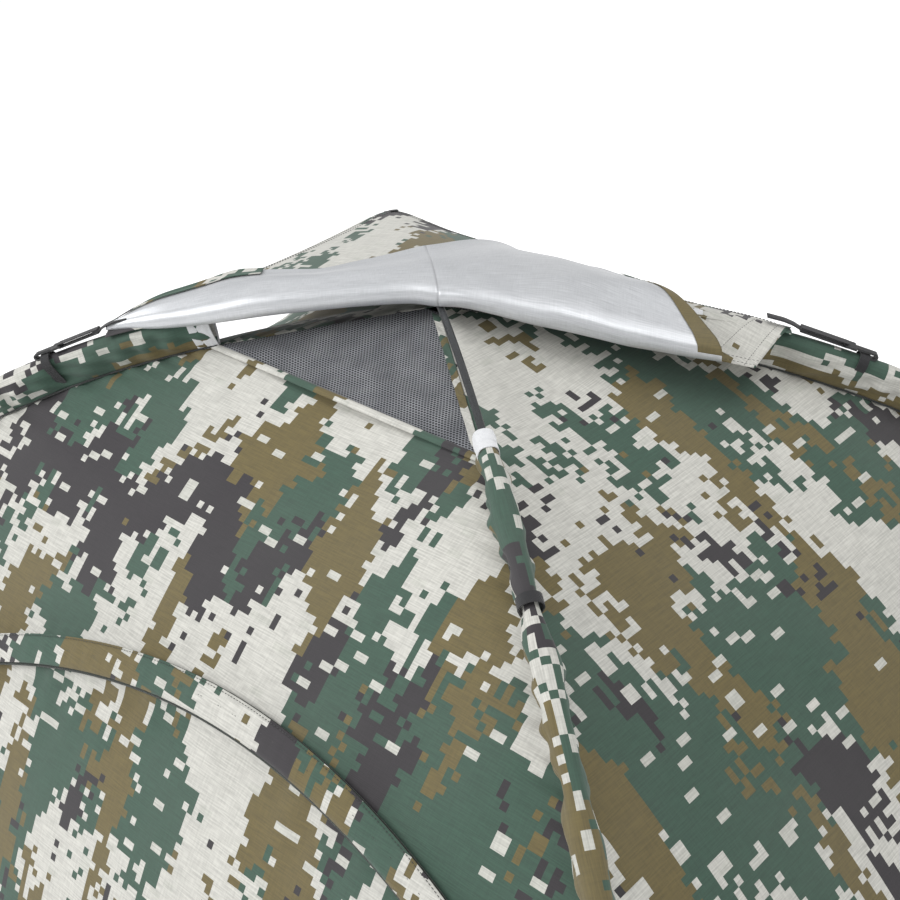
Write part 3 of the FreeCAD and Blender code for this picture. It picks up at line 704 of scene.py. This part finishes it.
def make_zip():
    """Zip tapes with their coil, and the stitched cover strip over them."""
    wall_tape = outline_strip("zip_wall_tape", 0.0012, 0.014, 0.0040, ZIP_TAPE)
    place(wall_tape, "tent", "zip_tape", "zip_tape_wall")
    door_tape = outline_strip("zip_door_tape", -0.014, -0.0012, 0.0040, ZIP_TAPE)
    place(door_tape, "door", "zip_tape", "zip_tape_door")
    run = np.linspace(0.004, 0.996, 5200)
    marks = np.linspace(0, 1, len(OUTLINE))
    for name, body, side in (("zip_wall_coil", "tent", 1), ("zip_door_coil", "door", -1)):
        x = np.interp(run, marks, OUTLINE[:, 0])
        z = np.interp(run, marks, OUTLINE[:, 1])
        slant = units(np.stack([np.gradient(x), np.gradient(z)], -1))
        phase = run * math.tau * 1300
        away = side * (0.0016 + 0.0012 * np.cos(phase))
        lift = 0.0052 + 0.0010 * np.sin(phase)
        path = front_surface(x - slant[:, 1] * away, z + slant[:, 0] * away, lift)
        place(rope(name, path, 0.00045, ZIP_TAPE, sides=4), body, "zip_tape")
    cover = outline_strip(
        "zip_cover", 0.0085, 0.034, COVER_LIFT, CAMO["cap"], bulge=0.0014, arch_shift=COVER_SHIFT
    )
    place(cover, "tent", "camouflage_cloth", "zip_cover_strip")
    shift = COVER_SHIFT * between(OUTLINE[:, 1], *LEG_TOP)
    facing = np.array([0, -0.8, 0.6])
    for index, margin in enumerate((0.0225, 0.0325)):
        plan = OUTLINE + OUTLINE_OUTWARD * (margin + shift)[:, None]
        path = front_surface(plan[:, 0], np.maximum(plan[:, 1], LOWEST_TRIM), COVER_LIFT + 0.0017)
        stitches(f"zip_cover_stitches_{index + 1}", path, facing)


# ---------------------------------------------------------------- mesh tops

def make_vent(side, body_node):
    """Net triangle under the crossing with a stitched hem below it."""
    distances = np.linspace(0.012, MOUTH, 70)
    points, normals, coords, inset = panel_grid(side, distances, 70)
    sag = -0.004 * between(inset, 0.0, 0.10) + 0.0008 * ripple(coords[..., 0] * 40, coords[..., 1] * 30, 3)
    crease = 0.003 * np.exp(-((coords[..., 1] + 0.11 + 1.3 * coords[..., 0] ** 2) / 0.012) ** 2)
    points = points + normals * (sag + crease)[..., None]
    net = grid_mesh(side + "_net", points, coords, NET, thickness=0.0006)
    place(net, "tent", "grey_mesh", body_node)
    make_vent_rim(side, MOUTH - 0.001, MOUTH + 0.013)


def make_vent_rim(side, low, high):
    """A double-stitched level band across a panel."""
    distances = np.linspace(low, high, 8)
    points, normals, coords, _ = panel_grid(side, distances, 120)
    crown = 0.0016 * np.sin(np.linspace(0, math.pi, 8))[:, None] + 0.0012
    raised = points + normals * crown[..., None]
    band = grid_mesh(side + "_cloth_rim", raised, coords, CAMO[side], thickness=THIN_CLOTH)
    place(band, "tent", "camouflage_cloth")
    for index, row in enumerate((1, 6)):
        path = (points + normals * (crown[..., None] + 0.0002))[row]
        name = f"{side}_rim_stitches_{index + 1}"
        stitches(name, path, normals[0, 0], material=PALE_THREAD)


def make_vent_margin(side, at_end):
    """Narrow printed strip between the net and the seam on its pole side."""
    distances = np.linspace(0.02, MOUTH, 90)
    points, normals, coords, _ = panel_grid(side, distances, 60)
    width = 0.013
    strip = []
    flat = []
    for row in range(len(distances)):
        line = points[row] if at_end else points[row][::-1]
        mapping = coords[row] if at_end else coords[row][::-1]
        total = max(np.linalg.norm(line[-1] - line[0]), 1e-6)
        shares = np.linspace(max(0.0, 1 - width / total), 1.0, 9)
        steps = np.linspace(0, 1, len(line))
        strip.append(np.stack([np.interp(shares, steps, line[:, k]) for k in range(3)], -1))
        flat.append(np.stack([np.interp(shares, steps, mapping[:, k]) for k in range(2)], -1))
    strip = np.array(strip)
    flat = np.array(flat)
    wave = 0.0012 * np.sin(distances * 190 + 2 * np.sin(distances * 40))[:, None]
    wave = wave * np.sin(np.linspace(0, math.pi, 9))
    strip = strip + normals[:, :9] * (wave[..., None] + 0.0016)
    end = "a" if at_end else "b"
    margin = grid_mesh(f"{side}_margin_{end}", strip, flat, CAMO["right"], thickness=0.0007)
    place(margin, "tent", "camouflage_cloth")


# ---------------------------------------------------------------- sleeves

def leg_frame(leg, distance):
    """Centre, outward and sideways directions of a pole at distances from the crossing."""
    radius, centre = CIRCLES[leg]
    angle = np.asarray(distance, float) / radius
    direction = LEGS[leg]
    out = np.stack([direction[0] * np.sin(angle), direction[1] * np.sin(angle), np.cos(angle)], -1)
    middle = out * radius
    middle[..., 2] += centre
    side = np.broadcast_to(np.array([-direction[1], direction[0], 0.0]), out.shape)
    return middle, out, side


SLEEVE_SECTION = (
    (0.0012, -1.00), (0.0030, -0.90), (0.0062, -0.72), (0.0090, -0.52), (0.0108, -0.32),
    (0.0112, -0.12), (0.0100, 0.04), (0.0066, 0.16), (0.0030, 0.205), (0.0, 0.215),
)


def rings_along(leg, distances, ring_of):
    """Cross-sections set up round a leg's pole; ring_of gives each from its place and depth."""
    middle, out, side = leg_frame(leg, distances)
    depth = np.linalg.norm(middle - seam_point(leg, distances), axis=-1)
    points = []
    for index in range(len(distances)):
        ring = ring_of(index, depth[index])
        points.append(middle[index] + side[index] * ring[:, :1] + out[index] * ring[:, 1:])
    return np.array(points)


def sleeve_ring(depth, width=1.0, ease=0.0):
    """Cross-section of a loose sleeve: up one side from the seam, over the pole and down."""
    half = np.array([(x * width + ease, y * depth + (ease if y > 0 else 0)) for x, y in SLEEVE_SECTION])
    half[-1, 0] = 0
    steps = np.linspace(0, 1, len(half))
    fine = np.linspace(0, 1, 19)
    line = np.stack([np.interp(fine, steps, half[:, k]) for k in (0, 1)], -1)
    line[1:-1] = (line[:-2] + 2 * line[1:-1] + line[2:]) / 4
    mirrored = line[-2::-1] * [-1, 1]
    return np.concatenate([line, mirrored])


def make_sleeve(leg, seed):
    """Gathered cloth sleeve over its pole, and the dark welts where it meets the body."""
    distances = np.linspace(MOUTH, SLEEVE_END, 520)

    def gathered(index, depth):
        distance = distances[index]
        cinched = math.exp(-((distance - LOOP_DISTANCE) / 0.022) ** 2)
        mouth = math.exp(-((distance - MOUTH) / 0.05) ** 2)
        swell = 1.06 + 0.13 * math.sin(distance * 37 + seed) + 0.06 * math.sin(distance * 83 + 2 * seed)
        ring = sleeve_ring(depth, swell * (1 - 0.30 * cinched - 0.18 * mouth))
        low = np.clip(-ring[:, 1] / depth, 0, 1)
        hang = np.sin(low * math.pi)
        fold = math.sin(distance * 150 + 1.7 * math.sin(distance * 31 + seed))
        ring[:, 0] += (0.0024 * fold + 0.0020 * math.sin(distance * 61 + seed)) * hang
        ring[:, 0] += 0.0018 * np.sin(distance * 110 + low * 14 + seed) * np.sign(ring[:, 0]) * hang
        return ring

    points = rings_along(leg, distances, gathered)
    _, out, side = leg_frame(leg, distances)
    unit = points[len(points) // 2]
    around = run_along(unit)
    coords = np.stack(np.broadcast_arrays(distances[:, None] + seed, around[None, :]), -1)
    sleeve = grid_mesh(f"{leg}_sleeve_cloth", points, coords, CAMO["sleeve"], thickness=0.0006)
    place(sleeve, "tent", "camouflage_cloth", "sleeve_" + leg)
    for sign in (-1, 1):
        base = seam_point(leg, distances) + out * 0.0022 + side * (0.0036 * sign)
        wobble = 0.0005 * np.sin(distances * 240 + seed)[:, None] * side
        welt = rope(f"{leg}_welt_{'a' if sign < 0 else 'b'}", base + wobble, 0.0011, THREAD, sides=6)
        place(welt, "tent", "camouflage_cloth")


def make_binding(leg):
    """White folded tape over a sleeve's mouth."""
    distances = np.linspace(MOUTH - 0.002, MOUTH + 0.024, 27)

    def folded(index, depth):
        share = index / (len(distances) - 1)
        ridge = 0.0006 * math.exp(-((share - 0.25) / 0.08) ** 2)
        ridge -= 0.0007 * math.exp(-((share - 0.62) / 0.04) ** 2)
        return sleeve_ring(depth, 0.90, 0.0010 + ridge)

    points = rings_along(leg, distances, folded)
    coords = points[..., :2].copy()
    binding = grid_mesh(f"{leg}_mouth_binding", points, coords, WHITE_TAPE, thickness=0.0010)
    return place(binding, "tent", "white_tape")


# ---------------------------------------------------------------- rain cap

ACROSS = LEGS["right"]
FORWARD = np.array([ACROSS[1], -ACROSS[0]])


def cap_world(a, u, z):
    """Point from the distance along the upper pole's line, forward distance and height."""
    return np.stack([ACROSS[0] * a + FORWARD[0] * u, ACROSS[1] * a + FORWARD[1] * u, z], -1)


def cap_height(a, u, offset):
    """Height of cloth drawn over the two poles, that far outside them."""
    x = ACROSS[0] * a + FORWARD[0] * u
    y = ACROSS[1] * a + FORWARD[1] * u
    power = 14.0
    reach = ((np.abs(x) / ALONG_X) ** power + (np.abs(y) / ALONG_Y) ** power) ** (1 / power)
    corner = between(np.hypot(x, y), 0.26, CAP_CORNER)
    return UPPER[1] + np.sqrt((UPPER[0] + offset) ** 2 - reach ** 2) + CORNER_LIFT * corner


def corner_plan(leg):
    """A cap corner in the along and forward coordinates."""
    corner = LEGS[leg] * (CAP_CORNER * 0.985)
    return np.array([corner @ ACROSS, corner @ FORWARD])


def bowed(start, end, share, inward):
    """A cut edge between two corners, bowed inward."""
    straight = start + (end - start) * share[:, None]
    side = np.array([-(end - start)[1], (end - start)[0]])
    side /= np.linalg.norm(side)
    if side @ (start + end) > 0:
        side = -side
    return straight + side * (inward * 4 * share * (1 - share))[:, None]


def cap_coords(points):
    """Cloth coordinates of the cap's printed side, with the print set askew."""
    x = points[..., 0]
    y = points[..., 1]
    return np.stack([x + 0.3 * y, y * 1.1], -1)


def make_cap_rear():
    """The printed rear half of the cap, drawn over the poles, with its stitched hem."""
    left, back, right = [corner_plan(leg) for leg in ("left", "back", "right")]
    share = np.linspace(0, 1, 110)
    edge = np.concatenate([bowed(left, back, share, 0.012)[:-1], bowed(back, right, share, 0.030)])
    a_top = np.linspace(left[0], right[0], len(edge))
    top = np.stack([a_top, np.full(len(edge), 0.012)], -1)
    rows = np.linspace(0, 1, 60)[:, None, None]
    flat = top[None] * (1 - rows) + edge[None] * rows
    sag = 0.006 * np.sin(math.pi * rows[..., 0]) * ripple(flat[..., 0] * 14, flat[..., 1] * 10, 21)
    height = cap_height(flat[..., 0], flat[..., 1], 0.0095) + 0.35 * sag
    points = cap_world(flat[..., 0], flat[..., 1], height)
    coords = cap_coords(points)
    cap = grid_mesh("cap_rear_cloth", points, coords, CAMO["cap"], thickness=CLOTH)
    place(cap, "tent", "camouflage_cloth", "cap_rear")
    for index, inset in enumerate((0.008, 0.018)):
        fraction = 1 - inset / 0.25
        row = int(round(fraction * 59))
        path = points[row] + [0, 0, 0.0004]
        stitches(f"cap_hem_stitches_{index + 1}", path, np.array([0, 0, 1.0]))


# Stops along the turned-back front, from the left corner to the right end of the fold:
# share, along, forward, lift of the fold edge over the drawn cloth.
FOLD_EDGE = (
    (0.00, -0.380, 0.000, 0.000),
    (0.12, -0.318, 0.012, -0.005),
    (0.25, -0.235, 0.018, -0.009),
    (0.40, -0.130, 0.022, -0.011),
    (0.55, 0.004, 0.026, -0.010),
    (0.70, 0.105, 0.052, -0.016),
    (0.85, 0.205, 0.072, -0.013),
    (1.00, 0.302, 0.082, -0.003),
)
# share, along, forward, lift of the far edge of the silver side.
FAR_EDGE = (
    (0.00, -0.380, -0.002, 0.002),
    (0.12, -0.318, -0.022, 0.016),
    (0.25, -0.236, -0.050, 0.022),
    (0.40, -0.135, -0.044, 0.006),
    (0.50, -0.070, -0.072, 0.004),
    (0.57, -0.010, -0.108, 0.004),
    (0.64, 0.045, -0.205, 0.002),
    (0.73, 0.100, -0.345, -0.012),
    (0.76, 0.110, -0.345, -0.012),
    (0.86, 0.150, -0.215, 0.002),
    (1.00, 0.215, -0.060, 0.008),
)
ROLL = ((0.0, 0.003), (0.12, 0.008), (0.3, 0.012), (0.55, 0.010), (0.75, 0.014), (1.0, 0.009))


def front_sheet(share, depth):
    """Point on the silver side: depth 0 at the fold edge, 1 at the far edge."""
    a0, u0, lift0 = track(FOLD_EDGE, share)
    a1, u1, lift1 = track(FAR_EDGE, share)
    (radius,) = track(ROLL, share)
    turn = np.clip(depth / 0.22, 0, 1) * math.pi
    forward = radius * np.sin(turn)
    rise = radius * (1 - np.cos(turn))
    travel = between(depth, 0.10, 1.0) * 0.25 + np.clip((depth - 0.16) / 0.84, 0, 1) * 0.75
    a = a0 + (a1 - a0) * travel
    u = u0 + (u1 - u0) * travel + forward * 0.55
    lift = lift0 * (1 - travel) + lift1 * travel + rise * (1 - between(travel, 0.25, 1.0) * 0.85)
    wave = 0.0016 * ripple(a * 16 + 3, u * 34, 44) * between(depth, 0.2, 0.5)
    crease = -0.004 * np.exp(-((a - 0.004) / 0.020) ** 2) * (1 - between(depth, 0.05, 0.45))
    height = cap_height(a, u, 0.0105) + lift + wave + crease
    return a, u, height


def fold_over(piece):
    """Bake the transform of a piece of the turned-back front into its mesh."""
    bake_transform(piece)


def make_cap_front():
    """The turned-back front of the cap in two halves that meet at the crossing."""
    shares = np.linspace(0, 1, 241)
    depths = np.linspace(0, 1, 80)
    a, u, height = front_sheet(shares[None, :], depths[:, None])
    points = cap_world(a, u, height)
    down = np.cumsum(np.full(points.shape[:2], 0.003), 0)
    coords = np.stack([np.broadcast_to(a, points.shape[:2]), down], -1)
    middle = 133
    halves = (("left", slice(0, middle + 1), (0.41, 0.16)), ("right", slice(middle, None), (0.32, 0.42)))
    for side, columns, flat in halves:
        name = f"cap_front_{side}"
        cloth = points[:, columns]
        piece = grid_mesh(name, cloth, coords[:, columns], SILVER, thickness=CLOTH, lining=CAMO["cap"])
        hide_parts("cap_flap_" + side)
        fold_over(piece)


def make_cap_lip():
    """The printed side of the cap's front where it passes over the pole to the fold."""
    shares = np.linspace(0, 1, 200)
    a0, u0, lift0 = track(FOLD_EDGE, shares)
    right = corner_plan("right")
    a_back = np.interp(shares, (0, 1), (-0.380, right[0]))
    back = np.full(len(shares), -0.004)
    rows = np.linspace(0, 1, 24)[:, None]
    held = between(shares, 0.88, 1.0)
    a0 = a0 + 0.034 * held
    u0 = u0 - 0.009 * (1 - held)
    a = a_back[None] * (1 - rows) + a0[None] * rows
    u = back[None] * (1 - rows) + u0[None] * rows
    height = cap_height(a, u, 0.0098) + lift0[None] * rows
    points = cap_world(a, u, height)
    coords = cap_coords(points)
    lip = grid_mesh("cap_front_lip", points, coords, CAMO["cap"], thickness=CLOTH)
    place(lip, "tent", "camouflage_cloth")
    above = np.array([0.0, 0.0, 0.0009])
    for index, (column, row) in enumerate(((-4, -2), (-11, -4))):
        stitches(f"cap_corner_side_{index + 1}", points[:, column] + above, above)
        stitches(f"cap_corner_end_{index + 1}", points[row, -30:] + above, above)


def make_cap_hems():
    """Printed hems on the turned-back front: its raised left edge and its right edge."""
    spans = {
        "left": (np.linspace(0.0, 0.30, 90)[:, None], np.linspace(0.74, 1.0, 9)[None, :]),
        "right": (np.linspace(0.962, 1.0, 9)[None, :], np.linspace(0.02, 1.0, 90)[:, None]),
    }
    for side, (shares, depths) in spans.items():
        shares, depths = np.broadcast_arrays(shares, depths)
        a, u, height = front_sheet(shares, depths)
        points = cap_world(a, u, height + 0.0016)
        coords = np.stack([a + 0.4 * u, u * 1.2], -1)
        hem = grid_mesh(f"cap_front_hem_{side}", points, coords, CAMO["cap"], thickness=THIN_CLOTH)
        fold_over(hem)


def make_strap_roots():
    """Webbing sewn over each cap corner, leading to the strap that holds its hook."""
    distances = np.linspace(0.352, 0.3935, 16)
    offsets = track(((0.352, 0.0205), (0.370, 0.0205), (0.381, 0.0190), (0.3935, 0.0150)), distances)[0]
    across = np.linspace(-0.0052, 0.0052, 7)
    for leg in ("left", "right", "back"):
        middle, out, side = leg_frame(leg, distances)
        crown = offsets[:, None] - 8.0 * across[None, :] ** 2
        points = middle[:, None] + side[:, None] * across[None, :, None] + out[:, None] * crown[..., None]
        coords = np.stack(np.broadcast_arrays(distances[:, None], across[None, :]), -1)
        root = grid_mesh(f"cap_strap_root_{leg}", points, coords, WEBBING, thickness=0.0012)
        place(root, "tent", "black_webbing")
        path = points[:9, 3] + out[:9] * 0.0004
        stitches(f"cap_strap_stitches_{leg}", path, out[4], "black_webbing", PALE_THREAD)


make_front_wall()
make_wall("right_wall", "right", 0.004, 31)
make_wall("back_wall", "back", MOUTH, 32)
make_wall("left_wall", "left", 0.004, 33)
make_zip()
make_vent("front", "front_mesh_vent")
make_vent("back", "back_mesh_vent")
make_vent_margin("front", True)
for number, leg_name in enumerate(LEGS):
    make_sleeve(leg_name, number + 1)
bindings = [make_binding(leg_name) for leg_name in LEGS]
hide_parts("sleeve_bindings")
make_cap_rear()
make_cap_lip()
make_cap_front()
make_cap_hems()
make_strap_roots()

NODE_MATERIALS = {
    "pole_section": RESIN, "ferrules": METAL, "pole_tips": METAL, "shock_cord": WEBBING,
    "sleeve_loops": WEBBING, "cap_strap": WEBBING, "corner_tabs": WEBBING, "corner_eyelets": METAL,
    "cap_hook": PLASTIC, "zip_slider": ENAMEL, "zip_pull": ENAMEL, "groundsheet": GROUND,
}
for node_name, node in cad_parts.items():
    for key, material in NODE_MATERIALS.items():
        if key in node_name:
            for index in range(len(node.material_slots)):
                node.material_slots[index].material = material
            break


# ---------------------------------------------------------------- stage, light and camera

FLOOR_REACH = 200.0


def make_stage():
    """A plain near-white floor and an even pale sky."""
    floor_shader = Shader("pale_floor", roughness=0.9)
    floor_shader.surface.inputs["Emission Color"].default_value = (1.0, 1.0, 1.0, 1.0)
    floor_shader.surface.inputs["Emission Strength"].default_value = 0.45
    floor_material = floor_shader.paint(colour(250, 250, 250))
    rows = [[(x, y, 0.0) for x in (-FLOOR_REACH, FLOOR_REACH)] for y in (-FLOOR_REACH, FLOOR_REACH)]
    points = np.array(rows)
    floor = grid_mesh("floor", points, points[..., :2].copy(), floor_material)
    world = bpy.data.worlds.new("studio")
    world.use_nodes = True
    world.node_tree.nodes["Background"].inputs["Color"].default_value = (1.0, 1.0, 1.0, 1.0)
    world.node_tree.nodes["Background"].inputs["Strength"].default_value = 0.58
    bpy.context.scene.world = world
    bpy.context.scene.view_settings.view_transform = "Standard"


def make_light(name, place_at, aim, size, power):
    light = bpy.data.lights.new(name, "AREA")
    light.size = size
    light.energy = power
    lamp = bpy.data.objects.new(name, light)
    lamp.location = place_at
    direction = Vector(aim) - Vector(place_at)
    lamp.rotation_euler = direction.to_track_quat("-Z", "Y").to_euler()
    bpy.context.scene.collection.objects.link(lamp)


def make_camera():
    """Camera 1.6 m from the crossing, looking down on the near corner."""
    azimuth = math.radians(45.34)
    elevation = math.radians(24.03)
    distance = 1.6
    yaw = math.radians(135.22)
    pitch = math.radians(-30.19)
    roll = math.radians(3.76)
    level = math.cos(elevation)
    away = Vector((math.sin(azimuth) * level, -math.cos(azimuth) * level, math.sin(elevation)))
    level = math.cos(pitch)
    look = Vector((level * math.cos(yaw), level * math.sin(yaw), math.sin(pitch)))
    right = look.cross(Vector((0, 0, 1))).normalized()
    up = right.cross(look)
    tilted_up = up * math.cos(roll) + right * math.sin(roll)
    tilted_right = right * math.cos(roll) - up * math.sin(roll)
    rotation = Matrix((tilted_right, tilted_up, -look)).transposed().to_4x4()
    data = bpy.data.cameras.new("camera")
    data.sensor_width = 36.0
    data.lens = 58.64
    camera = bpy.data.objects.new("camera", data)
    camera.matrix_world = Matrix.Translation(Vector((0, 0, PEAK_HEIGHT)) + away * distance) @ rotation
    bpy.context.scene.collection.objects.link(camera)
    bpy.context.scene.camera = camera


make_stage()
make_light("key", (-2.0, -3.4, 3.4), (0, 0, 0.8), 2.2, 120)
make_light("top", (0.8, 0.4, 4.4), (0, 0, 0.9), 3.0, 60)
make_light("fill", (3.8, -0.6, 2.2), (0, 0, 0.8), 3.0, 10)
make_camera()
